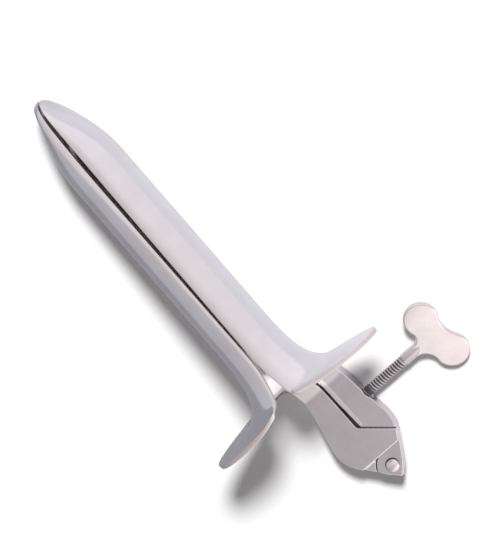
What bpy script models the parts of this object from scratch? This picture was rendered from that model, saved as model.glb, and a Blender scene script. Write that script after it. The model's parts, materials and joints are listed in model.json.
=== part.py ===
"""Bivalve anal speculum with a side thumbscrew, about 150 mm long.

Two half-tube blades close to a rounded beak and flare at the mouth into leaf-shaped
wings. Each blade is brazed to a forged lever that drops below the mouth, so that the
view down the tube stays free. The levers cross at a lap joint with one rivet, and a
screw through the right lever bears on the left one and spreads the blades.

Instrument frame: the hinge axis is Z through the origin, +Y runs along the blades to
the beak, +X is the side of the thumbscrew, and z = 0 is the height of the tube's axis.
Every piece hangs from one empty, which is pitched so that the instrument lies at rest.
"""

import math

import bmesh
import bpy
import numpy as np
from mathutils import Matrix, Vector

MM = 0.001
DEGREE = math.pi / 180

# Blades
TUBE_RADIUS = 9.15 * MM
SHEET = 1.3 * MM
BLADE_LENGTH = 112.8 * MM
BEAK_LENGTH = 26.0 * MM
BEAK_ROUNDING = 9.0 * MM
BEAK_TIP_HALF_WIDTH = 1.55 * MM
BEAK_TIP_RISE = 2.2 * MM
BLADE_GAP_ANGLE = 0.67 * DEGREE
TIP_HALF_GAP = 0.3 * MM
TIP_GAP_LENGTH = 30.0 * MM

# Flare and wings at the mouth
FLARE_LENGTH = 22.0 * MM
WING_REACH = 22.1 * MM
FLANGE_RISE = 3.6 * MM
WING_SWEEP = 3.8 * MM
FLANGE_RAKE = 9.4 * DEGREE
MOUTH_NOTCH = 2.2 * MM
MOUTH_NOTCH_LENGTH = 15.0 * MM
MOUTH_CORNER_RADIUS = 3.1 * MM
# Control points of the flare's section at the sides and at top and bottom: two distances
# from the rim as shares of its length, two heights as shares of its rise.
SIDE_CURVE = (0.11, 0.06, 0.015, 0.23)
CROWN_CURVE = (0.36, 0.07, 0.03, 0.25)

# Levers
HINGE_TO_WINGS = 33.7 * MM
HANDLE_DROP = 25.2 * MM
LEVER_THICKNESS = 5.0 * MM
LEVER_EDGE_ROUND = 0.8 * MM
LEVER_HALF_WIDTH = 9.7 * MM
LEFT_LEVER_EXTRA = 1.3 * MM
ROOT_HALF_WIDTH = 7.4 * MM
NECK_HALF_WIDTH = 8.7 * MM
NECK_THICKNESS = 4.2 * MM
NECK_FILLET = 3.6 * MM
LEVER_FLAT_LENGTH = 29.0 * MM
TONGUE_LENGTH = 11.0 * MM
APEX = 4.1 * MM

# Lap joint
SLIT = 1.0 * MM
LAP_SLIT = 0.5 * MM
LAP_START = 15.2 * MM
LAP_SLOPE = 40.0 * DEGREE
EAR_THICKNESS = 1.4 * MM
EAR_END = 4.6 * MM
KNUCKLE_RADIUS = 4.9 * MM
RIVET_RADIUS = 1.2 * MM
RIVET_HEAD_RADIUS = 2.05 * MM
RIVET_HEAD_HEIGHT = 1.1 * MM

# Thumbscrew
SCREW_TO_HINGE = 21.3 * MM
SCREW_RADIUS = 1.7 * MM
EXPOSED_THREAD = 15.1 * MM
COUNTERSINK_RADIUS = 2.35 * MM
TIP_RADIUS = 1.3 * MM
TIP_LENGTH = 2.6 * MM
SEAT_DEPTH = 0.65 * MM
SEAT_SLIDE = 1.4 * MM
WING_PLATE_THICKNESS = 2.0 * MM
LOBE_RADIUS = 5.2 * MM
LOBE_SPACING = 13.4 * MM
LOBE_OFFSET = 0.5 * MM
WAIST = 3.3 * MM
STEM_HALF_WIDTH = 1.75 * MM
STEM_LENGTH = 12.4 * MM
STEM_FILLET = 4.2 * MM
BEAK_SIDE_FILLET = 2.3 * MM
WING_TURN = 20.0 * DEGREE

# Fits and fineness
CLEARANCE = 0.3 * MM
SLIDING_CLEARANCE = 0.35 * MM
RING_SEGMENTS = 40
BEAK_STATIONS = 11
FLARE_STATIONS = 15
REACH = 200.0 * MM

LAYER_TOP = -HANDLE_DROP
LAYER_BOTTOM = LAYER_TOP - LEVER_THICKNESS
EAR_BOTTOM = LAYER_TOP - EAR_THICKNESS
KNUCKLE_TOP = EAR_BOTTOM - CLEARANCE
BACK_TOP = LAYER_BOTTOM + EAR_THICKNESS
KNUCKLE_BOTTOM = BACK_TOP + CLEARANCE
SCREW_HEIGHT = LAYER_TOP - LEVER_THICKNESS / 2
TIP_Y = HINGE_TO_WINGS + BLADE_LENGTH
FLARE_START = HINGE_TO_WINGS + FLARE_LENGTH


def clear_scene():
    """Empty the file, so that only this model is in it."""
    for thing in list(bpy.data.objects):
        bpy.data.objects.remove(thing)
    for group in list(bpy.data.collections):
        bpy.data.collections.remove(group)


def new_collection(name):
    group = bpy.data.collections.new(name)
    bpy.context.scene.collection.children.link(group)
    return group


def metal(name, colour, roughness):
    """A plain steel finish: base colour, roughness, fully metallic."""
    material = bpy.data.materials.new(name)
    material.use_nodes = True
    shader = material.node_tree.nodes["Principled BSDF"]
    shader.inputs["Base Color"].default_value = (*colour, 1.0)
    shader.inputs["Roughness"].default_value = roughness
    shader.inputs["Metallic"].default_value = 1.0
    material.diffuse_color = (*colour, 1.0)
    return material


def mesh_object(name, builder, group):
    """Turn a bmesh into an object with its faces pointing out."""
    bmesh.ops.recalc_face_normals(builder, faces=builder.faces)
    mesh = bpy.data.meshes.new(name)
    builder.to_mesh(mesh)
    builder.free()
    thing = bpy.data.objects.new(name, mesh)
    group.objects.link(thing)
    return thing


def outline_solid(name, points, low, high, group):
    """A flat outline in XY, filled and extruded from z = low to z = high, as a mesh."""
    curve = bpy.data.curves.new(name, "CURVE")
    curve.dimensions = "2D"
    curve.fill_mode = "BOTH"
    curve.extrude = (high - low) / 2
    spline = curve.splines.new("POLY")
    spline.points.add(len(points) - 1)
    for point, (x, y) in zip(spline.points, points):
        point.co = (x, y, 0, 1)
    spline.use_cyclic_u = True
    drawn = bpy.data.objects.new(name + "_outline", curve)
    group.objects.link(drawn)
    drawn.location.z = (high + low) / 2
    bpy.context.view_layer.update()
    evaluated = drawn.evaluated_get(bpy.context.evaluated_depsgraph_get())
    mesh = bpy.data.meshes.new_from_object(evaluated)
    builder = bmesh.new()
    builder.from_mesh(mesh)
    bmesh.ops.transform(builder, matrix=drawn.matrix_world, verts=builder.verts)
    bmesh.ops.remove_doubles(builder, verts=builder.verts, dist=0.001 * MM)
    bpy.data.objects.remove(drawn)
    bpy.data.meshes.remove(mesh)
    return mesh_object(name, builder, group)


def cylinder(name, radius, low, high, group, end_radius=None, segments=32):
    """A cylinder or cone on the Z axis between two heights."""
    builder = bmesh.new()
    top = radius if end_radius is None else end_radius
    place = Matrix.Translation((0, 0, (low + high) / 2))
    bmesh.ops.create_cone(builder, cap_ends=True, segments=segments, radius1=radius, radius2=top,
                          depth=high - low, matrix=place)
    return mesh_object(name, builder, group)


def turned(name, profile, group, segments=32):
    """Spin a profile of (radius, z) points about Z; it runs down the outer side."""
    mesh = bpy.data.meshes.new(name)
    points = [(radius, 0, z) for radius, z in profile]
    mesh.from_pydata(points, [(i, i + 1) for i in range(len(points) - 1)], [])
    thing = bpy.data.objects.new(name, mesh)
    group.objects.link(thing)
    screw = thing.modifiers.new("spin", "SCREW")
    screw.axis = "Z"
    screw.steps = segments
    screw.render_steps = segments
    screw.use_merge_vertices = True
    screw.merge_threshold = 0.0001 * MM
    return thing


def boolean(thing, cutter, operation="DIFFERENCE"):
    modifier = thing.modifiers.new(cutter.name, "BOOLEAN")
    modifier.operation = operation
    modifier.solver = "EXACT"
    modifier.object = cutter


def rounded(thing, width, segments=2, angle=40 * DEGREE):
    bevel = thing.modifiers.new("edge_round", "BEVEL")
    bevel.width = width
    bevel.segments = segments
    bevel.limit_method = "ANGLE"
    bevel.angle_limit = angle
    bevel.use_clamp_overlap = True


def arc(centre, radius, start, end, steps):
    """Points on a circle from one angle to another, both ends included."""
    angles = np.linspace(start, end, steps + 1)
    return [(centre[0] + radius * math.cos(a), centre[1] + radius * math.sin(a)) for a in angles]


def spline_through(points, steps):
    """A smooth open line through the given points (Catmull-Rom)."""
    knots = np.array(points)
    ends = np.vstack([2 * knots[0] - knots[1], knots, 2 * knots[-1] - knots[-2]])
    line = []
    for p0, p1, p2, p3 in zip(ends, ends[1:], ends[2:], ends[3:]):
        for t in np.arange(steps) / steps:
            line.append(0.5 * (2 * p1 + (p2 - p0) * t + (2 * p0 - 5 * p1 + 4 * p2 - p3) * t ** 2
                               + (3 * p1 - p0 - 3 * p2 + p3) * t ** 3))
    line.append(knots[-1])
    return [(float(x), float(y)) for x, y in line]


def bezier(p0, p1, p2, p3, t):
    return (1 - t) ** 3 * p0 + 3 * t * (1 - t) ** 2 * p1 + 3 * t ** 2 * (1 - t) * p2 + t ** 3 * p3


def beak_half_sizes(depth, wall=0.0):
    """Half-width and half-height of the beak's oval section, a distance back from its tip.

    Seen from above the beak is an ogive with a small round tip; seen from the side its end
    is round. With a wall, the same sizes for the inner surface.
    """
    swing = math.pi / 2 / BEAK_LENGTH
    swell = TUBE_RADIUS - BEAK_TIP_HALF_WIDTH
    nose = BEAK_TIP_HALF_WIDTH * math.sqrt(1 - max(1 - depth / BEAK_TIP_HALF_WIDTH, 0.0) ** 2)
    width = nose + swell * math.sin(swing * min(depth, BEAK_LENGTH))
    width_slope = swell * swing * math.cos(swing * min(depth, BEAK_LENGTH))
    short = max(1 - depth / BEAK_ROUNDING, 0.0)
    height = TUBE_RADIUS * math.sqrt(1 - short ** 2)
    height_slope = TUBE_RADIUS ** 2 * short / BEAK_ROUNDING / height
    return (width - wall * math.hypot(1, width_slope), height - wall * math.hypot(1, height_slope))


def beak_ring(depth, angles, wall=0.0):
    half_width, half_height = beak_half_sizes(depth, wall)
    rise = BEAK_TIP_RISE * max(1 - depth / BEAK_ROUNDING, 0.0) ** 2
    return np.stack([half_width * np.cos(angles), np.full_like(angles, TIP_Y - depth),
                     rise + half_height * np.sin(angles)], axis=1)


def flare_ring(t, angles):
    """One ring of the flare's outer surface; t runs from the tube (0) to the wings' rim (1).

    The section grows from the tube's circle to the ellipse of the rim. On the sides it
    turns out sharply into the wings, above and below it opens gently.
    """
    c = np.abs(np.cos(angles))
    ease = (1 - c) ** 1.5
    shoulder, throat, rise, swell = (side + (crown - side) * ease
                                     for side, crown in zip(SIDE_CURVE, CROWN_CURVE))
    growth = bezier(0.0, rise, swell, 1.0, t)
    rim_z = (TUBE_RADIUS + FLANGE_RISE) * np.sin(angles)
    rim_y = HINGE_TO_WINGS + WING_SWEEP * ease - rim_z * math.tan(FLANGE_RAKE)
    run = FLARE_START - rim_y
    y = bezier(FLARE_START, rim_y + run * shoulder, rim_y + run * throat, rim_y, t)
    x = (TUBE_RADIUS + growth * WING_REACH) * np.cos(angles)
    z = (TUBE_RADIUS + growth * FLANGE_RISE) * np.sin(angles)
    return np.stack([x, y, z], axis=1)


def ring_normals(rings):
    """Outward unit normals on a stack of rings, from central differences."""
    along = np.gradient(rings, axis=0)
    around = np.roll(rings, -1, axis=1) - np.roll(rings, 1, axis=1)
    normals = np.cross(around, along)
    normals /= np.linalg.norm(normals, axis=2, keepdims=True)
    return normals * np.sign(np.sum(normals[0] * rings[0] * [1, 0, 1]))


def skin(name, rings, group):
    """Join closed rings of points into one closed body, with a fan on each end ring."""
    builder = bmesh.new()
    rows = [[builder.verts.new(point) for point in ring] for ring in rings]
    count = len(rows[0])
    for row, following in zip(rows, rows[1:]):
        for i in range(count):
            j = (i + 1) % count
            builder.faces.new((row[i], row[j], following[j], following[i]))
    for row, ring in ((rows[0], rings[0]), (rows[-1], rings[-1])):
        centre = builder.verts.new(ring.mean(axis=0))
        for i in range(count):
            builder.faces.new((row[i], row[(i + 1) % count], centre))
    return mesh_object(name, builder, group)


def blade_rings():
    """Rings of the outer and the inner surface, each from the beak to the rim."""
    angles = np.arange(RING_SEGMENTS) * 2 * math.pi / RING_SEGMENTS
    steps = np.arange(BEAK_STATIONS + 1) / BEAK_STATIONS
    wall_depth = max(1.2 * SHEET, BEAK_TIP_HALF_WIDTH)
    depths = 0.1 * MM + (BEAK_LENGTH - 0.1 * MM) * steps ** 1.6
    inner_depths = wall_depth + (BEAK_LENGTH - wall_depth) * steps ** 1.5
    flare = np.array([flare_ring(t, angles) for t in np.linspace(0, 1, FLARE_STATIONS)])
    inner_flare = flare - SHEET * ring_normals(flare)
    outer = [beak_ring(depth, angles) for depth in depths]
    inner = [beak_ring(depth, angles, SHEET) for depth in inner_depths]
    return outer + list(flare), inner + list(inner_flare)


def free_edge_outline(notched):
    """Plan outline, left of the right blade's free edge, of what is cut from the tube.

    The free edges stand ajar by a small angle about the hinge and close up again towards
    the tip. At the top of the mouth they part in a curve that ends in a round corner.
    """
    slope = math.tan(BLADE_GAP_ANGLE / 2)
    far = TIP_Y + TUBE_RADIUS
    near = HINGE_TO_WINGS - 2 * TUBE_RADIUS
    edge = [(TIP_HALF_GAP, far)]
    for share in np.linspace(1, 0, 8):
        y = TIP_Y - TIP_GAP_LENGTH * (1 - share)
        edge.append((y * slope + (TIP_HALF_GAP - y * slope) * share ** 2, y))
    if notched:
        rim_y = float(flare_ring(1.0, np.array([math.acos(0.15)]))[0, 1])
        corner = (MOUTH_NOTCH + MOUTH_CORNER_RADIUS, rim_y + MOUTH_CORNER_RADIUS * 0.95)
        start = corner[1] + MOUTH_NOTCH_LENGTH
        for t in np.arange(11) / 11:
            x = start * slope + (MOUTH_NOTCH - start * slope) * t ** 2.4
            edge.append((x, start + (corner[1] - start) * t))
        edge += arc(corner, MOUTH_CORNER_RADIUS, math.pi, 1.5 * math.pi, 8)
        edge.append((corner[0], near))
    else:
        edge.append((near * slope, near))
    return [(-REACH, far)] + edge + [(-REACH, near)]


def mirrored(points):
    return [(-x, y) for x, y in reversed(points)]


def build_blade(name, side, group, cutters):
    """One half of the beaked, flared tube, cut off at its free edges in plan."""
    outer, inner = blade_rings()
    blade = skin(name, outer + inner[::-1], group)
    high, low = free_edge_outline(True), free_edge_outline(False)
    if side < 0:
        high, low = mirrored(high), mirrored(low)
    boolean(blade, outline_solid(name + "_cut_top", high, 0, REACH, cutters))
    boolean(blade, outline_solid(name + "_cut_low", low, -REACH, 0.1 * MM, cutters))
    rounded(blade, 0.3 * SHEET, 2, 50 * DEGREE)
    return blade


def lever_side(half_width):
    """Plan outline of one lever, neck and brazing tongue, from beside the apex to the tongue."""
    flat = LEVER_FLAT_LENGTH
    root = HINGE_TO_WINGS + CLEARANCE
    neck_y = root + NECK_FILLET
    return spline_through([
        (0.34 * LEVER_HALF_WIDTH, -0.2 * APEX),
        (0.71 * half_width, EAR_END + CLEARANCE),
        (0.95 * half_width, 0.31 * flat),
        (half_width, 0.48 * flat),
        ((half_width + ROOT_HALF_WIDTH) / 2, 0.74 * flat),
        (ROOT_HALF_WIDTH + 0.06 * half_width, 0.92 * flat),
        (ROOT_HALF_WIDTH, root),
        (NECK_HALF_WIDTH, neck_y),
        (0.62 * NECK_HALF_WIDTH, neck_y + 0.3 * TONGUE_LENGTH),
        (0.40 * NECK_HALF_WIDTH, neck_y + 0.75 * TONGUE_LENGTH),
    ], 4)


def lever_outline():
    """Plan outline of both closed levers together, right side then left."""
    tip = [(0.0, HINGE_TO_WINGS + NECK_FILLET + TONGUE_LENGTH)]
    left = mirrored(lever_side(LEVER_HALF_WIDTH + LEFT_LEVER_EXTRA))
    return [(0.0, -APEX)] + lever_side(LEVER_HALF_WIDTH) + tip + left


def lever_profile():
    """Side profile (y, z) of a lever: flat handle, steep neck up to the mouth, brazing tongue."""
    rim_z = -(TUBE_RADIUS + FLANGE_RISE)
    rim_y = HINGE_TO_WINGS + WING_SWEEP - rim_z * math.tan(FLANGE_RAKE)
    flat = LEVER_FLAT_LENGTH
    drop = LAYER_TOP - rim_z
    back = rim_y - 2.6 * MM
    front = back + NECK_THICKNESS
    upper = spline_through([
        (flat - 1.0 * MM, LAYER_TOP),
        (flat + 2.4 * MM, LAYER_TOP + 0.6 * MM),
        (back - 1.7 * MM, LAYER_TOP - 0.31 * drop),
        (back - 0.5 * MM, LAYER_TOP - 0.66 * drop),
        (back + 0.4 * MM, rim_z - 0.4 * MM),
        (rim_y - 0.4 * MM, rim_z + 0.8 * SHEET),
    ], 5)
    lower = spline_through([
        (rim_y + TONGUE_LENGTH + 3 * MM, -TUBE_RADIUS - 1.2 * MM),
        (rim_y + 0.45 * TONGUE_LENGTH, -TUBE_RADIUS - 2.5 * MM),
        (front + 1.2 * MM, rim_z - 1.8 * MM),
        (front, LAYER_TOP - 0.62 * drop),
        (front - 0.8 * MM, LAYER_TOP - 0.1 * drop),
        (flat + 4.2 * MM, LAYER_BOTTOM + 1.0 * MM),
        (flat, LAYER_BOTTOM),
    ], 5)
    throat = (rim_y + TONGUE_LENGTH + 3 * MM, -0.5 * TUBE_RADIUS)
    return [(-2 * APEX, LAYER_TOP)] + upper + [throat] + lower + [(-2 * APEX, LAYER_BOTTOM)]


def cut_neck_side(lever, side, cutters):
    """Narrow the neck below the mouth, with a concave round up to the width of the tongue."""
    top = -(TUBE_RADIUS + FLANGE_RISE) - 0.6 * MM
    corner = (ROOT_HALF_WIDTH + NECK_FILLET, top - NECK_FILLET)
    outline = [(ROOT_HALF_WIDTH, LAYER_BOTTOM - REACH / 8)]
    outline += arc(corner, NECK_FILLET, math.pi, math.pi / 2, 8)
    outline += [(REACH / 4, top), (REACH / 4, LAYER_BOTTOM - REACH / 8)]
    if side < 0:
        outline = mirrored(outline)
    start = -(HINGE_TO_WINGS - 0.6 * MM)
    cutter = outline_solid(lever.name + "_neck_side", outline, start - REACH / 4, start, cutters)
    cutter.data.transform(Matrix.Rotation(math.pi / 2, 4, "X"))
    boolean(lever, cutter)


def slit_offset(shift):
    """Corner of the lap slit: where a parallel of its slope meets the straight slit's wall."""
    x = math.copysign(SLIT / 2, shift)
    return x, LAP_START + shift / math.cos(LAP_SLOPE) - x * math.tan(LAP_SLOPE)


def lap_line(shift, run):
    """End of the lap slit's slope, a run away from its corner."""
    x, y = slit_offset(shift)
    return x + run * math.cos(LAP_SLOPE), y - run * math.sin(LAP_SLOPE)


def knuckle_line(radius, x, top):
    """Wall of the round knuckle: down the slit to the circle, then round it to the left."""
    start = math.acos(x / radius)
    return [(x, top)] + arc((0, 0), radius, start, 1.5 * math.pi, 18)


def build_lever(name, side, group, cutters, blade_room):
    """Half of the levers' common outline, cut to its side of the slit and the lap joint."""
    lever = outline_solid(name, lever_outline(), LAYER_BOTTOM - 10 * MM, 0, group)
    profile = outline_solid(name + "_profile", lever_profile(), -REACH / 4, REACH / 4, cutters)
    profile.data.transform(Matrix(((0, 0, 1, 0), (1, 0, 0, 0), (0, 1, 0, 0), (0, 0, 0, 1))))
    boolean(lever, profile, "INTERSECT")
    cut_neck_side(lever, side, cutters)
    rounded(lever, LEVER_EDGE_ROUND, 3)
    boolean(lever, blade_room)
    outside = REACH / 2
    shift = side * LAP_SLIT / 2
    corner, end = slit_offset(shift), lap_line(shift, outside)
    top, bottom = LAYER_TOP + REACH / 4, LAYER_BOTTOM - REACH / 4
    if side > 0:
        knuckle = knuckle_line(KNUCKLE_RADIUS, SLIT / 2, REACH)
        knuckle += [(0.0, -outside), (-outside, -outside), (-outside, REACH)]
        boolean(lever, outline_solid(name + "_cut_knuckle", knuckle, bottom, top, cutters))
        below = [lap_line(shift, -outside), end, (end[0], -REACH), (-outside, -REACH)]
        boolean(lever, outline_solid(name + "_cut_ear", below, KNUCKLE_TOP, top, cutters))
        boolean(lever, outline_solid(name + "_cut_back", below, bottom, KNUCKLE_BOTTOM, cutters))
    else:
        outer_wall = [(corner[0], REACH), corner, end, (end[0], REACH)]
        boolean(lever, outline_solid(name + "_cut_right", outer_wall, bottom, top, cutters))
        pocket_top = corner[1] + CLEARANCE
        pocket = knuckle_line(KNUCKLE_RADIUS + SLIDING_CLEARANCE, -SLIT / 2, pocket_top)
        pocket += [(0.0, -outside), (outside, -outside), (outside, pocket_top)]
        boolean(lever, outline_solid(name + "_cut_pocket", pocket, BACK_TOP, EAR_BOTTOM, cutters))
        step = [(-outside, -outside), (outside, -outside), (outside, EAR_END), (-outside, EAR_END)]
        boolean(lever, outline_solid(name + "_cut_step", step, KNUCKLE_TOP, top, cutters))
    return lever


def build_blade_room(cutters):
    """The blades' filled outer form grown by the clearance, which the necks are cut to."""
    rings = np.array(blade_rings()[0][BEAK_STATIONS:])
    normals = ring_normals(rings)
    along = rings[-1] - rings[-2]
    beyond = CLEARANCE * along / np.linalg.norm(along, axis=1, keepdims=True)
    grown = rings + CLEARANCE * normals
    front_lip = grown[-1] + beyond
    back_lip = rings[-1] - (SHEET + CLEARANCE) * normals[-1] + beyond
    return skin("blade_room", list(grown) + [front_lip, back_lip], cutters)


def across(thing):
    """Turn a solid from the Z axis to the screw's axis: its +Z end then points to +X."""
    thing.data.transform(Matrix.Rotation(math.pi / 2, 4, "Y"))


def drill(lever, name, radius, low, high, cutters, end_radius=None):
    """A hole on the screw's axis between two places along X."""
    hole = cylinder(name, radius, low, high, cutters, end_radius)
    across(hole)
    hole.location = (0, SCREW_TO_HINGE, SCREW_HEIGHT)
    boolean(lever, hole)


def lever_side_at_screw():
    """Half-width of the closed levers at the screw's axis."""
    points = [p for p in lever_outline() if p[0] > 0]
    above = min((p for p in points if p[1] >= SCREW_TO_HINGE), key=lambda p: p[1])
    below = max((p for p in points if p[1] < SCREW_TO_HINGE), key=lambda p: p[1])
    share = (SCREW_TO_HINGE - below[1]) / (above[1] - below[1])
    return below[0] + share * (above[0] - below[0])


def cut_screw_way(right, left, cutters):
    """Clear hole and countersink in the right lever, thrust seat in the left one."""
    side = lever_side_at_screw()
    clear = SCREW_RADIUS + CLEARANCE
    drill(right, "screw_hole", clear, -SLIT, side + 5 * MM, cutters)
    sink = COUNTERSINK_RADIUS - clear
    drill(right, "countersink", clear, side - 2 * sink, side + 2 * sink, cutters,
          clear + 4 * sink)
    reach = TIP_RADIUS + SLIDING_CLEARANCE
    low = SCREW_TO_HINGE - reach
    high = SCREW_TO_HINGE + SEAT_SLIDE + reach
    corner = reach * 0.98
    outline = arc((0, low + reach), corner, math.pi, 2 * math.pi, 12)
    outline += arc((0, high - reach), corner, 0, math.pi, 12)
    slot = outline_solid("thrust_seat", outline, -SEAT_DEPTH - SLIT / 2, 0, cutters)
    across(slot)
    slot.location.z = SCREW_HEIGHT
    boolean(left, slot)


def build_rivet(group, cutters, levers):
    """Domed rivet through the knuckle and the left lever's back leaf."""
    head_bottom = KNUCKLE_TOP + CLEARANCE
    dome = [(RIVET_HEAD_RADIUS * math.sin(a), head_bottom + 0.25 * MM + RIVET_HEAD_HEIGHT * math.cos(a))
            for a in np.linspace(0, math.pi / 2, 9)]
    foot = LAYER_BOTTOM + CLEARANCE
    profile = dome + [(RIVET_HEAD_RADIUS, head_bottom), (RIVET_RADIUS, head_bottom),
                      (RIVET_RADIUS, foot), (0.0, foot)]
    rivet = turned("hinge_rivet", profile, group)
    hole = cylinder("rivet_hole", RIVET_RADIUS + CLEARANCE, LAYER_BOTTOM - CLEARANCE,
                    LAYER_TOP + CLEARANCE, cutters)
    for lever in levers:
        boolean(lever, hole)
    return rivet


def screw_start():
    """Place along X of the thrust tip's nose when the blades are closed."""
    return -SLIT / 2 - SEAT_DEPTH + CLEARANCE


def build_tip(group):
    """Swivelling thrust tip with a ball nose, which slides but does not turn."""
    nose = [(TIP_RADIUS * math.cos(a), -TIP_LENGTH + TIP_RADIUS - TIP_RADIUS * math.sin(a))
            for a in np.linspace(0, math.pi / 2, 8)]
    tip = turned("screw_tip", [(0.0, 0.0), (TIP_RADIUS, 0.0)] + nose[:-1] + [(0.0, -TIP_LENGTH)], group)
    tip.rotation_euler = (0, math.pi / 2, 0)
    tip.location = (screw_start() + TIP_LENGTH, 0, 0)
    return tip


def plate_side(half, fillet):
    """Outline of one side of the wing plate: stem, fillet, round lobe, up to the waist."""
    waist_radius = (half ** 2 + WAIST ** 2 - LOBE_RADIUS ** 2) / (2 * (LOBE_RADIUS - WAIST))
    waist_centre = WAIST + waist_radius
    fillet_x = STEM_HALF_WIDTH + fillet
    fillet_drop = math.sqrt((LOBE_RADIUS + fillet) ** 2 - (half - fillet_x) ** 2)
    to_fillet = math.atan2(-fillet_drop, fillet_x - half)
    to_waist = math.atan2(waist_centre, -half)
    side = [(STEM_HALF_WIDTH, -STEM_LENGTH)]
    side += arc((fillet_x, -fillet_drop), fillet, math.pi, to_fillet + math.pi, 6)
    side += arc((half, 0), LOBE_RADIUS, to_fillet, to_waist, 20)[1:]
    return side + arc((0, waist_centre), waist_radius, to_waist - math.pi, -math.pi / 2, 5)[1:-1]


def plate_outline():
    """The wing plate in plan; its lobes sit a little towards the hinge from the stem."""
    hinge_side = plate_side(LOBE_SPACING / 2 + LOBE_OFFSET, STEM_FILLET)
    beak_side = plate_side(LOBE_SPACING / 2 - LOBE_OFFSET, BEAK_SIDE_FILLET)
    return hinge_side + [(0.0, WAIST)] + mirrored(beak_side)


def build_screw(group, cutters):
    """Screw rod and wing head, both turning on the screw's axis, which is local X."""
    rod_start = screw_start() + TIP_LENGTH + CLEARANCE
    shoulder = lever_side_at_screw() + EXPOSED_THREAD
    rod_end = shoulder - CLEARANCE
    chamfer = 0.35 * SCREW_RADIUS
    profile = [(0.0, rod_end), (SCREW_RADIUS, rod_end), (SCREW_RADIUS, rod_start + chamfer),
               (SCREW_RADIUS - chamfer, rod_start), (0.0, rod_start)]
    rod = turned("screw_rod", profile, group, 24)
    across(rod)
    rod.modifiers["spin"].axis = "X"
    head = outline_solid("wing_head", plate_outline(), -WING_PLATE_THICKNESS / 2,
                         WING_PLATE_THICKNESS / 2, group)
    head.data.transform(Matrix.Translation((shoulder + STEM_LENGTH, 0, 0))
                        @ Matrix.Rotation(-math.pi / 2, 4, "Z"))
    rounded(head, 0.3 * WING_PLATE_THICKNESS, 3)
    stem = turned("stem", [(0.0, shoulder + 0.62 * STEM_LENGTH),
                           (0.35 * STEM_HALF_WIDTH, shoulder + 0.6 * STEM_LENGTH),
                           (1.02 * STEM_HALF_WIDTH, shoulder + 0.3 * STEM_LENGTH),
                           (1.02 * STEM_HALF_WIDTH, shoulder), (0.0, shoulder)], cutters)
    across(stem)
    stem.modifiers["spin"].axis = "X"
    boolean(head, stem, "UNION")
    return rod, head


def lowest_line(points, pitch):
    """Lowest height of points of the side view when the beak is tipped down by an angle."""
    return float(np.min(points[:, 1] * math.cos(pitch) - points[:, 0] * math.sin(pitch)))


def world_points(things):
    depsgraph = bpy.context.evaluated_depsgraph_get()
    rows = []
    for thing in things:
        evaluated = thing.evaluated_get(depsgraph)
        matrix = evaluated.matrix_world
        rows += [tuple(matrix @ vertex.co) for vertex in evaluated.to_mesh().vertices]
        evaluated.to_mesh_clear()
    return np.array(rows)


def rest_pitch(blades, levers):
    """Pitch at which the beak and the levers' lower bend touch the table together."""
    bpy.context.view_layer.update()
    blade_points = world_points(blades)[:, 1:]
    lever_points = world_points(levers)[:, 1:]
    low, high = 0.0, math.pi / 4
    for _ in range(40):
        middle = (low + high) / 2
        if lowest_line(lever_points, middle) < lowest_line(blade_points, middle):
            low = middle
        else:
            high = middle
    return (low + high) / 2


def empty(name, location, parent, group):
    frame = bpy.data.objects.new(name, None)
    frame.location = location
    frame.parent = parent
    frame.empty_display_size = 5 * MM
    group.objects.link(frame)
    return frame


def smooth(things):
    for thing in things:
        thing.data.shade_smooth()
        thing.data.set_sharp_from_angle(angle=35 * DEGREE)


def main():
    clear_scene()
    group = new_collection("anal_speculum")
    cutters = new_collection("cutters")
    polished = metal("polished_steel", (0.72, 0.72, 0.74), 0.12)
    satin = metal("satin_steel", (0.58, 0.56, 0.55), 0.38)

    blade_room = build_blade_room(cutters)
    left_blade = build_blade("left_blade", -1, group, cutters)
    right_blade = build_blade("right_blade", 1, group, cutters)
    left_lever = build_lever("left_lever", -1, group, cutters, blade_room)
    right_lever = build_lever("right_lever", 1, group, cutters, blade_room)
    cut_screw_way(right_lever, left_lever, cutters)
    rivet = build_rivet(group, cutters, (left_lever, right_lever))
    tip = build_tip(group)
    rod, head = build_screw(group, cutters)
    for thing in (left_blade, right_blade):
        thing.data.materials.append(polished)
    for thing in (left_lever, right_lever, rivet, tip, rod, head):
        thing.data.materials.append(satin)
    smooth((left_blade, right_blade, rivet, tip, rod, head, left_lever, right_lever))

    root = empty("instrument", (0, 0, 0), None, group)
    hinge = empty("blade_hinge", (0, 0, 0), root, group)
    screw_line = empty("screw_line", (0, SCREW_TO_HINGE, SCREW_HEIGHT), hinge, group)
    screw_line_turn = empty("screw_turn", (0, 0, 0), screw_line, group)
    for thing in (left_blade, left_lever, rivet):
        thing.parent = root
    for thing in (right_blade, right_lever):
        thing.parent = hinge
    tip.parent = screw_line
    for thing in (rod, head):
        thing.parent = screw_line_turn
    screw_line_turn.rotation_euler = (WING_TURN, 0, 0)
    for thing in cutters.objects:
        thing.parent = screw_line_turn if thing.name == "stem" else root
        thing.hide_render = True
        thing.display_type = "WIRE"

    root.rotation_euler = (-rest_pitch((left_blade, right_blade), (left_lever, right_lever)), 0, 0)
    bpy.context.view_layer.update()
    points = world_points([thing for thing in group.objects if thing.type == "MESH"])
    low, high = points.min(axis=0), points.max(axis=0)
    root.location = Vector((-(low[0] + high[0]) / 2, -(low[1] + high[1]) / 2, -low[2]))
    bpy.context.view_layer.update()


main()
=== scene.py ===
"""Looks of a bivalve anal speculum in polished and satin stainless steel.

Laid out as an add-on and run as a script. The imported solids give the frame; the pieces here
replace them one for one with smooth surfaces. Blades, rivet and screw are worked out from the
same few sizes; the levers are their solids' own skin, smoothed and finished.

Instrument frame: the hinge axis is Z through the origin, +Y runs along the blades to the
beak, +X is the thumbscrew's side, and z = 0 is the height of the tube's axis.
"""

import json
import math

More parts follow.
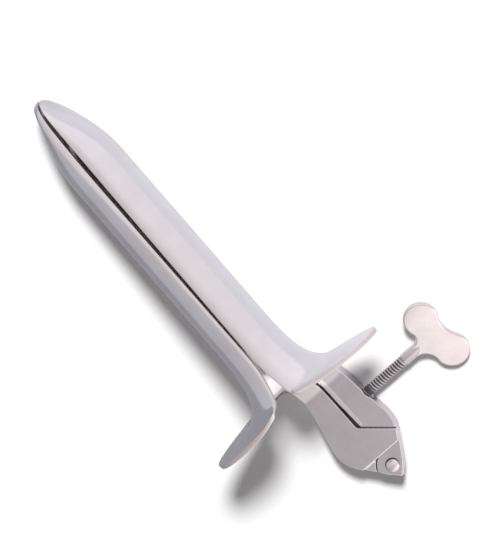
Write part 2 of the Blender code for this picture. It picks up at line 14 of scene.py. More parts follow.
import bmesh
import bpy
import numpy as np
from bpy.props import FloatProperty, FloatVectorProperty, PointerProperty
from mathutils import Matrix, Vector


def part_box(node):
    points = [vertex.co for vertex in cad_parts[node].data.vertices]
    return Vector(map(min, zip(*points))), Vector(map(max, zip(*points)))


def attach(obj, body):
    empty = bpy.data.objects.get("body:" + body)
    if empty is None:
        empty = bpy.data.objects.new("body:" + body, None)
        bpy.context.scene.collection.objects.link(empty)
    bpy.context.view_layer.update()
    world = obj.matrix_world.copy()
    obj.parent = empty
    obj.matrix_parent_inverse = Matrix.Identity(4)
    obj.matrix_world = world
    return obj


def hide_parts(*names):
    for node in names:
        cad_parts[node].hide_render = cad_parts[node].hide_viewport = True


bl_info = {
    "name": "Bivalve speculum looks",
    "version": (1, 0, 0),
    "blender": (4, 5, 0),
    "location": "View3D > Sidebar > Speculum",
    "description": "Builds the visible pieces, finishes, stage and camera of a bivalve speculum",
    "category": "Add Mesh",
}

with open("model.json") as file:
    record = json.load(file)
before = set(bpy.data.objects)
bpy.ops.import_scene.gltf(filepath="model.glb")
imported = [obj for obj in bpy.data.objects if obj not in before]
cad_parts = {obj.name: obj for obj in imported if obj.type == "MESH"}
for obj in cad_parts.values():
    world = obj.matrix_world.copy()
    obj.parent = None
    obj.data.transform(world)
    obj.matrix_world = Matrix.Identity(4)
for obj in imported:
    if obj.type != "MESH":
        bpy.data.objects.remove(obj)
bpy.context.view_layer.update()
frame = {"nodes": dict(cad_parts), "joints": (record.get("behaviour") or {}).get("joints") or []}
MM = 0.001

# Studio surroundings as the metal shows them: colours from one side to the other, by the part of
# the direction along the instrument's X and along its Y. The lengthwise ones scale the others.
SIDE_LIGHT = ((-1.0, "#BABABF"), (-0.6, "#C8C5C7"), (0.1, "#E3DFDE"), (0.3, "#EEE8E7"),
              (0.5, "#F5EFF0"), (1.0, "#F2EEF2"))
LENGTH_LIGHT = ((-1.0, "#E6E4E4"), (-0.8, "#E6E4E4"), (-0.62, "#FFFFFF"), (-0.5, "#E4E4E4"),
                (-0.36, "#B3B1B1"), (-0.25, "#A6A4A4"), (-0.1, "#BFBEBE"), (0.0, "#C6C5C5"),
                (0.3, "#CDCDD0"), (1.0, "#D2D2D6"))


# Frame and small tools

def linear(code):
    """Turn an sRGB hex colour such as #C0C0C0 into linear red, green and blue."""
    parts = [int(code[i:i + 2], 16) / 255 for i in (1, 3, 5)]
    return tuple(p / 12.92 if p <= 0.04045 else ((p + 0.055) / 1.055) ** 2.4 for p in parts)


def joint(name):
    """The frame's record of one joint."""
    return next(entry for entry in frame["joints"] if entry["name"] == name)


def instrument_axes(blade):
    """Rotation and origin of the instrument frame, from the hinge's and the screw's joints."""
    z = -Vector(joint("blade_opening")["axis"]).normalized()
    x = -Vector(joint("screw_travel")["axis"]).normalized()
    rotation = Matrix((x, z.cross(x).normalized(), z)).transposed()
    return rotation, Vector(joint("blade_opening")["pos_m"]) + blade.screw_depth * z


def groups(context, *names):
    """The scene's property groups of those names."""
    return [getattr(context.scene, "speculum_" + name) for name in names]


# Makers of properties, each from a name, a description and a default

def length(name, description, millimetres):
    return FloatProperty(name=name, description=description, default=millimetres * MM,
                         subtype="DISTANCE", unit="LENGTH", precision=5)


def degrees(name, description, default):
    return FloatProperty(name=name, description=description, default=math.radians(default),
                         subtype="ANGLE", unit="ROTATION")


def number(name, description, default):
    return FloatProperty(name=name, description=description, default=default)


def numbers(name, description, *default):
    return FloatVectorProperty(name=name, description=description, default=default,
                               size=len(default))


def colour(name, description, code):
    return FloatVectorProperty(name=name, description=description, default=linear(code), size=3,
                               subtype="COLOR", min=0.0, max=1.0)


def share(name, description, default):
    return FloatProperty(name=name, description=description, default=default, min=0.0, max=1.0,
                         subtype="FACTOR")


def ramp(value, start, end):
    """Straight ramp: 0 up to the start, 1 from the end on."""
    return np.clip((value - start) / (end - start), 0, 1)


def smooth(step):
    """Cubic step, which eases a ramp at both ends."""
    return step * step * (3 - 2 * step)


def bezier(p0, p1, p2, p3, t):
    """Cubic Bezier curve of t with those four weights."""
    return (1 - t) ** 3 * p0 + 3 * t * (1 - t) ** 2 * p1 + 3 * t ** 2 * (1 - t) * p2 + t ** 3 * p3


def quads(index):
    """Quads between the neighbours in a table of vertex numbers."""
    corners = (index[:-1, :-1], index[:-1, 1:], index[1:, 1:], index[1:, :-1])
    return np.stack(corners, axis=-1).reshape(-1, 4)


def grid_faces(rows, columns, wrap=False):
    """Quads of a grid of vertices, row by row; wrap also joins the last column to the first."""
    index = np.arange(rows * columns).reshape(rows, columns)
    if wrap:
        index = np.concatenate([index, index[:, :1]], axis=1)
    return quads(index)


def placed(name, mesh, node, body):
    """Put a mesh into the scene as the piece that rides on a body and replaces a node."""
    made = bpy.data.objects.new(name, mesh)
    bpy.context.scene.collection.objects.link(made)
    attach(made, body)
    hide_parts(node)
    return made


def piece(name, points, faces, blade, node, body, material, groove=None,
          edge=None):
    """Make a closed, smooth piece from points in the instrument frame; it replaces a node.

    The groove is a value for each point. The edge is the index of the first face that takes
    the second material, and that material.
    """
    axes, origin = map(np.array, instrument_axes(blade))
    mesh = bpy.data.meshes.new(name)
    mesh.from_pydata(points @ axes.T + origin, [], faces)
    if groove is not None:
        mesh.attributes.new("groove", "FLOAT", "POINT").data.foreach_set("value", groove)
    if edge is not None:
        second = np.arange(len(faces)) >= edge[0]
        mesh.polygons.foreach_set("material_index", second.astype(np.int32))
    builder = bmesh.new()
    builder.from_mesh(mesh)
    bmesh.ops.remove_doubles(builder, verts=builder.verts, dist=0.0005 * MM)
    bmesh.ops.dissolve_degenerate(builder, edges=builder.edges, dist=0.0001 * MM)
    bmesh.ops.recalc_face_normals(builder, faces=builder.faces)
    builder.to_mesh(mesh)
    builder.free()
    mesh.shade_smooth()
    mesh.materials.append(material)
    if edge is not None:
        mesh.materials.append(edge[1])
    return placed(name, mesh, node, body)


def feed(tree, node, inputs):
    """Set a node's inputs: a socket is linked, and a node stands for its first output in use."""
    for name, value in inputs.items():
        if isinstance(value, bpy.types.Node):
            value = next(output for output in value.outputs if output.enabled)
        if isinstance(value, bpy.types.NodeSocket):
            tree.links.new(value, node.inputs[name])
        else:
            node.inputs[name].default_value = value


def add(tree, kind, inputs=None, **options):
    """Add one node, with its own options and its inputs."""
    made = tree.nodes.new("ShaderNode" + kind)
    for name, value in options.items():
        setattr(made, name, value)
    feed(tree, made, inputs or {})
    return made


def blend(tree, factor, first, second, kind="MIX"):
    """Mix of two colours by a factor."""
    return add(tree, "Mix", {"Factor": factor, "A": first, "B": second}, data_type="RGBA",
               blend_type=kind)


def colour_ramp(tree, factor, stops):
    """Colour ramp through its stops, each a position and a linear colour."""
    made = add(tree, "ValToRGB", {"Fac": factor})
    elements = made.color_ramp.elements
    for index, (position, tone) in enumerate(stops):
        element = elements[index] if index < 2 else elements.new(position)
        element.position = position
        element.color = (*tone, 1)
    return made


# Sizes and colours

class BladeSizes(bpy.types.PropertyGroup):
    """Sizes of the two half-tube blades."""
    tube_radius: length("Tube radius", "Outer radius of the closed tube", 9.15)
    sheet: length("Sheet", "Thickness of the blades' sheet", 1.3)
    blade_length: length("Blade length", "From the wings to the beak's tip", 112.8)
    beak_length: length("Beak length", "Length of the tapered end", 26.0)
    beak_rounding: length("Beak rounding", "Length of the beak's round end in side view", 9.0)
    tip_half_width: length("Tip half-width", "Radius of the beak's tip seen from above", 1.55)
    tip_rise: length("Tip rise", "Height of the tip above the tube's axis", 2.2)
    gap_angle: degrees("Gap angle", "How far the blades stand ajar", 0.67)
    tip_half_gap: length("Tip half-gap", "Half the gap between the blades' tips", 0.3)
    tip_gap_length: length("Tip gap length", "Length over which the gap closes up", 30.0)
    flare_length: length("Flare length", "Length of the flare at the mouth", 22.0)
    side_curve: numbers("Side curve", "Control points of the flare's sides, as shares",
                        0.11, 0.06, 0.015, 0.23)
    crown_curve: numbers("Crown curve", "Control points of its top and bottom, as shares",
                         0.36, 0.07, 0.03, 0.25)
    wing_reach: length("Wing reach", "How far a wing stands out from the tube", 22.1)
    flange_rise: length("Flange rise", "How far the rim stands above the tube", 3.6)
    wing_sweep: length("Wing sweep", "How far the rim's middle lies towards the beak", 3.8)
    flange_rake: degrees("Flange rake", "Lean of the rim's plane", 9.4)
    notch: length("Mouth notch", "Half-width of the opening between the rims' ends", 2.2)
    notch_length: length("Notch length", "Length over which the free edges part", 15.0)
    corner_radius: length("Corner radius", "Round corner from free edge to rim", 3.1)
    edge_round: length("Edge round", "How far the sheet's edge is crowned", 0.22)
    lip_width: length("Lip width", "Width of the rolled lip at the blades' tips", 2.4)
    split_lean: length("Split lean", "How far the split leans to the right at the tip", 0.5)
    right_lip: share("Right lip", "Slope of the right blade's lip at the free edge", 0.1)
    left_lip: share("Left lip", "Slope of the left blade's lip at the free edge", 0.46)
    right_twist: share("Right twist", "How far the right wing leans over with its height", 0.0)
    left_twist: share("Left twist", "How far the left wing leans over with its height", 0.115)
    hinge_to_wings: length("Hinge to wings", "From the hinge axis to the wings' tips", 33.7)
    screw_depth: length("Screw depth", "Depth of the screw's axis below the tube's", 27.7)


class ScrewSizes(bpy.types.PropertyGroup):
    """Sizes of the thumbscrew, its thrust tip and the rivet."""
    screw_to_hinge: length("Screw to hinge", "From the hinge axis to the screw's axis", 21.3)
    thread_radius: length("Thread radius", "Outer radius of the thread", 1.7)
    pitch: length("Pitch", "Advance of one turn of the thread", 0.95)
    thread_depth: length("Thread depth", "Depth of the thread's groove", 0.34)
    # Painted shade: place of the dark band on the thread at the lever's hole.
    hole_shade_at: length("Oil ring", "Where the thread is oiled dark, at the lever's hole", 9.6)
    plate_thickness: length("Plate thickness", "Thickness of the wing plate", 2.0)
    lobe_radius: length("Lobe radius", "Radius of the plate's two lobes", 5.2)
    lobe_spacing: length("Lobe spacing", "Distance between the lobes' centres", 13.4)
    lobe_offset: length("Lobe offset", "How far the lobes sit towards the hinge", 0.5)
    waist: length("Waist", "Height of the plate's far edge between the lobes", 3.3)
    stem_half_width: length("Stem half-width", "Half-width of the plate's stem", 1.75)
    stem_length: length("Stem length", "From the thread to the lobes' centres", 12.4)
    stem_fillet: length("Stem fillet", "Round between stem and the hinge side's lobe", 4.2)
    beak_side_fillet: length("Beak-side fillet", "Round between stem and the other lobe", 2.3)
    plate_edge: length("Plate edge", "Edge round of the plate", 0.6)
    wing_turn: degrees("Wing turn", "Turn of the plate about the screw", 20)
    rivet_radius: length("Rivet head radius", "Radius of the rivet's head", 2.05)
    rivet_height: length("Rivet head height", "Height of the rivet's dome", 1.1)
    shaft_radius: length("Rivet shaft radius", "Radius of the rivet's shaft", 1.2)
    # Painted shade: size and shift of the dark ring round the rivet's head.
    shade_ring_radius: length("Rivet seat radius", "Radius of the dark ring round the head", 2.2)
    shade_ring_shift: length("Rivet seat shift", "How far the ring lies towards the beak", 0.22)
    tip_radius: length("Thrust tip radius", "Radius of the ball that bears", 1.3)


class LeverSizes(bpy.types.PropertyGroup):
    """Hand finish of the forged levers, which their solids leave out."""
    voxel: length("Voxel", "Grid on which a solid is remeshed", 0.2)
    neck_line: length("Neck line", "Where the thinned back of the neck starts", 36.5)
    neck_thinning: share("Neck thinning", "Share of the neck beyond that line that goes", 0.5)
    front_height: length("Front height", "Front face above the screw's axis", 2.5)
    crown: number("Crown", "Drop of the front per square metre of x", 3.4)
    dish: number("Dish", "Rise of the front per square metre of y", 2.4)
    slit_half: length("Slit half-width", "Half the slit between the levers", 0.5)
    slit_end: length("Slit end", "Where the slit meets the lap joint", 15.0)
    slit_lean: length("Slit lean", "How far the slit narrows at the neck", 0.45)
    chamfer_width: length("Chamfer width", "Width of the chamfer beside the slit", 1.2)
    chamfer_drop: length("Chamfer drop", "Depth of that chamfer at the slit", 0.5)


class SteelColours(bpy.types.PropertyGroup):
    """Colours and gloss of the steel."""
    polished: colour("Polished steel", "Mirror of the polished blades", "#E8E6E8")
    satin: colour("Satin steel", "Brushed surface of the levers", "#D8D3D5")
    cast: colour("Plate steel", "Fine-ground surface of the wing plate", "#F4EBEA")
    edge: colour("Sheet edge", "Ground edge of the blades' sheet", "#E9E1DD")
    # Painted highlight: near-white colour laid on the levers' sideways faces and beside the slit.
    painted_highlight: colour("Worn steel", "Bright, rubbed corners of the levers", "#FDFAFA")
    # Painted shade: colour of the dark ring round the rivet's head.
    seat_shade: colour("Oiled seat", "Old oil round the rivet's head", "#4A4849")
    thread: colour("Thread crests", "Worn crests of the thread", "#D6CFCF")
    # Painted shade: the darker colour laid in the thread's groove and at the hole.
    thread_groove_shade: colour("Thread groove", "Dull, oily bottom of the thread's groove", "#6A686C")
    polished_roughness: share("Polished roughness", "Blur of the blades' reflections", 0.16)
    satin_roughness: share("Satin roughness", "Blur of the levers' reflections", 0.36)


class StageSettings(bpy.types.PropertyGroup):
    """Place of the camera, and the floor, surroundings and key light."""
    floor: colour("Floor", "White paper sweep", "#F4F4F4")
    floor_half: length("Floor half-width", "Half the side of the square floor", 1500.0)
    card_dark: colour("Dark card", "Floor in the metal's reflections, left side", "#9A9AA0")
    card_pale: colour("Pale card", "Floor in the metal's reflections, right side", "#E2E1E7")
    card_start: length("Card start", "X at which the card starts to grow paler", -32.0)
    card_end: length("Card end", "X from which on the card is pale", 14.0)
    sky_strength: number("Sky strength", "Surroundings' strength in mirror rays", 1.8)
    fill_strength: number("Fill strength", "Surroundings' strength in diffuse rays", 0.4)
    longitude: degrees("Longitude", "Camera's turn about the tube's axis", 17.27)
    latitude: degrees("Latitude", "Camera's lean towards the hinge", -2.35)
    roll: degrees("Roll", "Turn of the instrument in the picture", 40.98)
    distance: length("Distance", "From the camera to the instrument's middle", 1264.0)
    target_y: length("Target Y", "Point by which the picture is placed, from the hinge", 70.0)
    target_z: length("Target Z", "The same point's height over the tube's axis", -8.0)
    target_spot: numbers("Target spot", "Where that point lies in the picture, in pixels",
                         220.29, 296.43)
    scale: number("Scale", "Pixels per metre at the instrument", 3450.0)
    lamp_strength: number("Lamp strength", "Strength of the key light", 3.5)
    lamp_plan: numbers("Lamp plan", "Direction of the key light in plan, X and Y", 0.87, 0.5)
    lamp_height: degrees("Lamp height", "Key light's angle over the floor", 59)
    lamp_width: degrees("Lamp width", "Angle that the key light fills", 11)


# Blades

def free_edge(blade, y, top, lean):
    """Plan line of the right blade's free edge: x as a function of y.

    A straight line through the hinge at half the gap's angle, which closes up and leans
    sideways with the square of the way to the tip. At the top of the mouth x grows with the
    2.4th power of the way to the corner, then follows a quarter circle.
    """
    slope = math.tan(blade.gap_angle / 2)
    tip_y = blade.hinge_to_wings + blade.blade_length
    near = ramp(y, tip_y - blade.tip_gap_length, tip_y)
    x = y * slope + (blade.tip_half_gap + lean - y * slope) * near ** 2
    if not top:
        return x
    corner_angle = math.acos(0.15)
    rim_y = flare(blade, np.array(1.0), np.array(corner_angle))[..., 1]
    radius = blade.corner_radius
    corner_x, corner_y = blade.notch + radius, rim_y + 0.95 * radius
    start = corner_y + blade.notch_length
    way = ramp(y, start, start - blade.notch_length)
    x = np.where(y < start, start * slope + (blade.notch - start * slope) * way ** 2.4, x)
    drop = ramp(y, corner_y, corner_y - radius)
    return np.where(y < corner_y, corner_x - radius * np.sqrt(1 - drop ** 2), x)


def flare(blade, t, angle):
    """Outer surface of the flare: an ellipse that grows from the tube's circle to the rim.

    Growth and y are cubic Bezier curves of t whose middle weights change with the angle,
    so the sides turn out sharply into wings while top and bottom open gently.
    """
    ease = (1 - np.abs(np.cos(angle))) ** 1.5
    shoulder, throat, rise, swell = (side + (crown - side) * ease for side, crown
                                     in zip(blade.side_curve, blade.crown_curve))
    growth = bezier(0.0, rise, swell, 1.0, t)
    rim_z = (blade.tube_radius + blade.flange_rise) * np.sin(angle)
    rim_y = blade.hinge_to_wings + blade.wing_sweep * ease - rim_z * math.tan(blade.flange_rake)
    start = blade.hinge_to_wings + blade.flare_length
    run = start - rim_y
    y = bezier(start, rim_y + run * shoulder, rim_y + run * throat, rim_y, t)
    x = (blade.tube_radius + growth * blade.wing_reach) * np.cos(angle)
    z = (blade.tube_radius + growth * blade.flange_rise) * np.sin(angle)
    return np.stack(np.broadcast_arrays(x, y, z), axis=-1)


def beak(blade, depth, angle, wall=0.0):
    """Beak: an ellipse whose half-width grows as a sine and half-height as a circle's arc."""
    swing = math.pi / 2 / blade.beak_length
    swell = blade.tube_radius - blade.tip_half_width
    reach = np.minimum(depth, blade.beak_length)
    nose = blade.tip_half_width * np.sqrt(1 - np.clip(1 - depth / blade.tip_half_width, 0, 1) ** 2)
    short = np.clip(1 - depth / blade.beak_rounding, 0, 1)
    width_slope = swell * swing * np.cos(swing * reach)
    height = blade.tube_radius * np.sqrt(1 - short ** 2)
    height_slope = blade.tube_radius ** 2 * short / blade.beak_rounding / height
    half_width = nose + swell * np.sin(swing * reach) - wall * np.hypot(1, width_slope)
    half_height = height - wall * np.hypot(1, height_slope)
    y = blade.hinge_to_wings + blade.blade_length - depth
    return np.stack(np.broadcast_arrays(half_width * np.cos(angle), y,
                                        blade.tip_rise * short ** 2 + half_height * np.sin(angle)),
                    axis=-1)


def flare_wall(blade, t, angle, wall):
    """The flare's surface moved inwards along its normal, from central differences."""
    step = 1e-4
    along = flare(blade, t + step, angle) - flare(blade, t - step, angle)
    around = flare(blade, t, angle + step) - flare(blade, t, angle - step)
    normal = np.cross(around, along)
    normal /= np.linalg.norm(normal, axis=-1, keepdims=True)
    place = flare(blade, t, angle)
    outward = np.sign(np.sum(normal[:1] * place[:1] * [1, 0, 1]))
    return place - wall * outward * normal


def first_depth(blade, wall, lean):
    """Depth at which the beak's half-width first equals the free edge's x, by halving."""
    low = blade.tip_half_width if wall else 1e-6
    high = blade.beak_length
    for _ in range(50):
        middle = (low + high) / 2
        width, y, _ = beak(blade, np.array(middle), np.array(0.0), wall)
        if width < free_edge(blade, y, False, lean) + blade.edge_round:
            low = middle
        else:
            high = middle
    return high


def blade_sheet(blade, rows, angle, wall, lean):
    """One surface of the right blade on rows 0 to 3: beak, tube, flare, from nose to rim."""
    start = first_depth(blade, wall, lean)
    depth = start + (blade.beak_length - start) * np.clip(rows, 0, 1) ** 1.7
    tip = beak(blade, depth, angle, wall)
    tube_depth = blade.beak_length + np.clip(rows - 1, 0, 1) * (
        blade.blade_length - blade.flare_length - blade.beak_length)
    tube = beak(blade, tube_depth, angle, wall)
    rim = flare(blade, np.array(1.0), angle) - flare(blade, np.array(1 - 1e-3), angle)
    end = 1 - 1e-3 * blade.edge_round / np.linalg.norm(rim, axis=-1)
    t = end * (1 - (1 - np.clip(rows - 2, 0, 1)) ** 1.25)
    mouth = flare_wall(blade, t, angle, wall) if wall else flare(blade, t, angle)
    rows = np.broadcast_to(rows, mouth.shape[:-1])[..., None]
    return np.where(rows <= 1, tip, np.where(rows <= 2, tube, mouth))


def rolled_lips(blade, grid, slope):
    """Lean the sheet inwards beside both free edges, over a lip that is widest at the tip.

    Within the lip's width w, a point at distance d drops by the slope times (w - d) squared
    over (w - d + 0.12 w), which is nearly straight with a soft start. The lip narrows to 0.3
    of its width over the front half of the blade.
    """
    length = np.linalg.norm(np.diff(grid, axis=1), axis=-1)
    way = np.concatenate([np.zeros_like(length[:, :1]), np.cumsum(length, axis=1)], axis=1)
    tip_y = blade.hinge_to_wings + blade.blade_length
    near = ramp(grid[..., 1], tip_y - 0.5 * blade.blade_length, tip_y)
    width = (0.3 + 0.7 * near) * blade.lip_width
    rolled = grid.copy()
    for distance, side in ((way, 1), (way[:, -1:] - way, -1)):
        inside = np.clip(width - distance, 0, None)
        rolled[..., 2] += side * slope * inside ** 2 / (inside + 0.12 * width)
    return rolled


def blade_surface(blade, rows, wall, columns, lip, lean):
    """Grid of one surface between its free edges, whose angles are found by halving."""
    limits = []
    for sign, top in ((-1, False), (1, True)):
        low, high = np.zeros_like(rows), np.full_like(rows, math.pi / 2)
        for _ in range(45):
            middle = (low + high) / 2
            place = blade_sheet(blade, rows, sign * middle, wall, lean)
            inside = place[..., 0] > free_edge(blade, place[..., 1], top, lean) + blade.edge_round
            low, high = np.where(inside, middle, low), np.where(inside, high, middle)
        limits.append(sign * low)
    step = np.linspace(0, 1, columns)
    angle = limits[0] + (limits[1] - limits[0]) * step
    return rolled_lips(blade, blade_sheet(blade, rows, angle, wall, lean), lip)


def leaned_wing(blade, points, twist):
    """Lean the wing over: y drops by the twist times z, over cubic steps in x and y.

    Below the tube's axis the step in x lies further out, so the lower rim stays closed.
    """
    x, y, z = points.T
    below = ramp(z, 6 * MM, -6 * MM)
    across = ramp(x, 10 * MM * below, 12 * MM + 8 * MM * below)
    start = blade.hinge_to_wings + blade.flare_length
    along = ramp(y, start, start - 15 * MM)
    return np.stack([x, y - twist * z * smooth(across) * smooth(along), z], axis=1)


def blade_mesh(blade, lip, lean):
    """Right blade: outer and inner grid, joined by an edge strip round the whole boundary.

    The strip runs from the outer to the inner boundary on a flattened half circle: with c
    and s the cosine and sine to the 0.45th power, it is the middle of the two points plus
    c times their half difference plus s times the crown, along the cross product of the
    boundary's direction and the sheet's.
    """
    rows = np.concatenate([np.linspace(0, 1, 46), np.linspace(1, 2, 24)[1:],
                           np.linspace(2, 3, 66)[1:]])[:, None]
    columns, around = 97, 9
    outer = blade_surface(blade, rows, 0.0, columns, lip, lean)
    inner = blade_surface(blade, rows, blade.sheet, columns, lip, lean)
    count = len(rows)
    index = np.arange(count * columns).reshape(count, columns)
    loop = np.concatenate([index[:, -1], index[-1, -2::-1], index[-2::-1, 0]])
    edge_out, edge_in = outer.reshape(-1, 3)[loop], inner.reshape(-1, 3)[loop]
    middle, half = (edge_out + edge_in) / 2, (edge_out - edge_in) / 2
    along = np.gradient(middle, axis=0)
    crown = np.cross(half, along)
    crown /= np.linalg.norm(crown, axis=1, keepdims=True)
    rim = len(loop) // 2
    if crown[rim, 1] > 0:
        crown = -crown
    turn = np.linspace(0, math.pi, around)[1:-1, None, None]
    c = np.sign(np.cos(turn)) * np.abs(np.cos(turn)) ** 0.45
    strip = middle + c * half + np.sin(turn) ** 0.45 * blade.edge_round * crown
    total = count * columns
    points = np.concatenate([outer.reshape(-1, 3), inner.reshape(-1, 3), strip.reshape(-1, 3)])
    between = np.arange((around - 2) * len(loop)).reshape(around - 2, -1)
    lines = np.concatenate([loop[None], 2 * total + between, loop[None] + total])
    sheet = quads(index)
    faces = np.concatenate([sheet, sheet[:, ::-1] + total, quads(lines)])
    return points, faces, 2 * len(sheet)


# Turned and threaded pieces, on the screw's or the rivet's axis

def spun(radius, turn, height):
    """Points on rings about the Z axis, one ring for each row of radius and height."""
    return np.stack(np.broadcast_arrays(radius * np.cos(turn), radius * np.sin(turn), height),
                    axis=-1)


def turned(profile, segments=48):
    """Surface of revolution: each (radius, height) of the profile is spun round an axis."""
    turn = np.arange(segments) * 2 * math.pi / segments
    radius, height = np.array(profile).T[:, :, None]
    return (spun(radius, turn, height).reshape(-1, 3),
            grid_faces(len(profile), segments, wrap=True))


def on_screw(points, sizes, blade, turn=0.0):
    """From an axis along Z to the screw's axis along +X, turned about it by an angle."""
    across, up = points[:, 1], -points[:, 0]
    return np.stack([points[:, 2],
                     across * math.cos(turn) - up * math.sin(turn) + sizes.screw_to_hinge,
                     across * math.sin(turn) + up * math.cos(turn) - blade.screw_depth], axis=1)


def thread_mesh(sizes, start, end):
    """Threaded rod: radius at height h and angle a is a rounded V of (h / pitch - a / turn).

    The groove's depth fades at both ends, where the rod is chamfered and closed by a cap.
    The last result is each point's painted shade: 1 in the groove and in a band where the rod
    enters the lever's hole.
    """
    segments, rings_per_turn = 48, 16
    turn = np.arange(segments) * 2 * math.pi / segments
    height = np.linspace(start, end, int((end - start) / sizes.pitch * rings_per_turn))[:, None]
    phase = height / sizes.pitch - turn / (2 * math.pi)
    wave = np.abs(2 * (phase - np.floor(phase)) - 1)
    groove = smooth(ramp(wave, 0.14, 0.88))
    groove = groove * ramp(height, start, start + 0.8 * MM) * ramp(height, end, end - 0.5 * MM)
    chamfer = 0.35 * sizes.thread_radius * ramp(height, start + 0.5 * MM, start)
    ring = spun(sizes.thread_radius - sizes.thread_depth * groove - chamfer, turn, height)
    rings = np.concatenate([ring[:1] * [0, 0, 1], ring, ring[-1:] * [0, 0, 1]])
    # Painted shade: a dark band round the place where the rod enters the hole, joined with the
    # groove's.
    hole_shade = ramp(np.abs(height - sizes.hole_shade_at), 1.56 * MM, 0.36 * MM)
    painted_shade = np.pad(np.maximum(groove, hole_shade), ((1, 1), (0, 0)))
    return rings.reshape(-1, 3), grid_faces(len(rings), segments, wrap=True), painted_shade.ravel()


def arc(centre, radius, start, end, steps):
    """Points of a circular arc in the plane, from one angle to another."""
    angle = np.linspace(start, end, steps + 1)
    return np.array(centre) + radius * np.stack([np.cos(angle), np.sin(angle)], axis=1)


def plate_side(sizes, half, fillet):
    """Outline of one side of the wing plate: stem, fillet, lobe and half the waist, as arcs."""
    waist_radius = (half ** 2 + sizes.waist ** 2 - sizes.lobe_radius ** 2) / (
        2 * (sizes.lobe_radius - sizes.waist))
    waist_centre = sizes.waist + waist_radius
    fillet_x = sizes.stem_half_width + fillet
    drop = math.sqrt((sizes.lobe_radius + fillet) ** 2 - (half - fillet_x) ** 2)
    to_fillet = math.atan2(-drop, fillet_x - half)
    to_waist = math.atan2(waist_centre, -half)
    stem = [[sizes.stem_half_width, -sizes.stem_length], [sizes.stem_half_width, -drop]]
    return np.concatenate([
        np.linspace(*stem, 6)[:-1],
        arc((fillet_x, -drop), fillet, math.pi, to_fillet + math.pi, 16),
        arc((half, 0), sizes.lobe_radius, to_fillet, to_waist, 64)[1:],
        arc((0, waist_centre), waist_radius, to_waist - math.pi, -math.pi / 2, 12)[1:]])


def plate_outline(sizes):
    """Wing plate in plan: hinge side, then the beak side mirrored; both end at the waist."""
    half = sizes.lobe_spacing / 2
    hinge_side = plate_side(sizes, half + sizes.lobe_offset, sizes.stem_fillet)
    beak_side = plate_side(sizes, half - sizes.lobe_offset, sizes.beak_side_fillet)
    return np.concatenate([hinge_side, (beak_side * [-1, 1])[-2::-1]])


def plate_mesh(sizes):
    """Wing plate: copies of its outline, each moved inwards along the outline's normal.

    At both edges inset and height follow a quarter circle of the edge's radius. One flat
    polygon closes each face.
    """
    line = plate_outline(sizes)
    along = np.roll(line, -1, axis=0) - np.roll(line, 1, axis=0)
    normal = np.stack([along[:, 1], -along[:, 0]], axis=1)
    normal /= np.linalg.norm(normal, axis=1, keepdims=True)
    turn = np.linspace(0, math.pi / 2, 7)
    rise, fall = sizes.plate_edge * (1 - np.cos(turn)), sizes.plate_edge * (1 - np.sin(turn))
    inset = np.concatenate([fall, rise])[:, None, None]
    half = sizes.plate_thickness / 2
    height = np.concatenate([rise - half, half - fall])[:, None, None]
    rings = line - inset * normal
    count, around = rings.shape[:2]
    points = np.concatenate([rings, np.broadcast_to(height, (count, around, 1))], axis=2)
    faces = grid_faces(count, around, wrap=True).tolist()
    faces.append(list(range(around))[::-1])
    faces.append(list(range((count - 1) * around, count * around)))
    return points.reshape(-1, 3), faces


# Levers

def fine_lever(points, blade, lever, slit):
    """Finish a lever's shape, on points of the instrument frame.

    The back of the neck is thinned: below the mouth, a share of what lies beyond a line goes.
    The front is crowned across with the square of x, and dished towards the neck with the
    square of y. Beside the slit, the right lever's front drops in a straight chamfer, and
    its face leans into the slit, which narrows in proportion to y towards the neck.
    """
    x, y, z = points.T
    below_mouth = ramp(-z, 13 * MM, 16 * MM)
    y = y - lever.neck_thinning * below_mouth * np.clip(y - lever.neck_line, 0, None)
    front = lever.front_height - blade.screw_depth
    skin = ramp(z, front - 2 * MM, front - 0.5 * MM) * ramp(y, 38 * MM, 32 * MM)
    dish = lever.dish * np.clip(y - 14 * MM, 0, 15 * MM) ** 2
    z = z + skin * (dish - lever.crown * x ** 2)
    if slit:
        beside = ramp(x, lever.slit_half + lever.chamfer_width, lever.slit_half)
        level = ramp(z, front - 1.2 * MM, front - 0.2 * MM) * (y > lever.slit_end)
        z = z - level * (y < 32 * MM) * beside * lever.chamfer_drop
        lean = ramp(y, lever.slit_end, lever.slit_end + 9 * MM) * ramp(y, 35 * MM, 32 * MM)
        x = x - beside * lean * lever.slit_lean
    return np.stack([x, y, z], axis=1)


def painted_highlight_share(points, normals, lever, slit):
    """Painted highlight on a lever, 0 to 1: where its normal leans sideways, and beside the slit.

    The walls on the thumbscrew's side get less of that painted highlight.
    """
    x, y, _ = points.T
    aside, along, up = normals.T
    leaning = np.hypot(aside, along * (y < 26 * MM))
    # Painted highlight: lighter where the faces turn sideways, less on the thumbscrew's side.
    painted_highlight = ramp(leaning, 0.12, 0.42) * np.where(aside > 0.1, 0.35, 1.0)
    if slit:
        # Painted highlight: a bright band on the front beside the slit.
        painted_highlight = np.maximum(painted_highlight, (x < 1.8 * MM) * (up > 0.5) * (y > lever.slit_end))
    return painted_highlight


